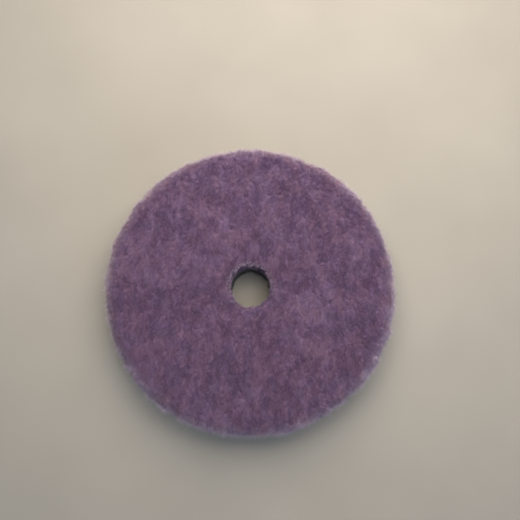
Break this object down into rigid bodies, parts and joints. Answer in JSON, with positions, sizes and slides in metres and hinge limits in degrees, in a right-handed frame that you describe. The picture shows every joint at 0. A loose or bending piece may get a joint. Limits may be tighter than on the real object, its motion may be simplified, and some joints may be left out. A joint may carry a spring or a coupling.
{
  "type": "felt polishing wheel",
  "caption": "Round purple wool-felt polishing wheel: a thick fibre face on a soft foam cushion with a loop-fabric back and a punched centre hole.",
  "frame": {"origin": "centre of the loop face, where the spin axis meets the back of the wheel", "axes": "+Z along the spin axis from the loop face to the felt working face; X and Y lie in the loop face and are interchangeable"},
  "size_m": [0.15, 0.15, 0.0216],
  "materials": {
    "purple_felt": "matte curled wool pile",
    "ground_cloth": "plain woven cloth",
    "hot_melt_glue": "satin adhesive film",
    "cushion_foam": "matte open-cell foam",
    "loop_fabric": "knitted nylon loops"
  },
  "bodies": {
    "root": {"felt_face": "purple_felt", "ground_fabric": "ground_cloth", "front_glue_film": "hot_melt_glue", "foam_cushion": "cushion_foam", "rear_glue_film": "hot_melt_glue", "loop_backing": "loop_fabric"}
  },
  "joints": []
}
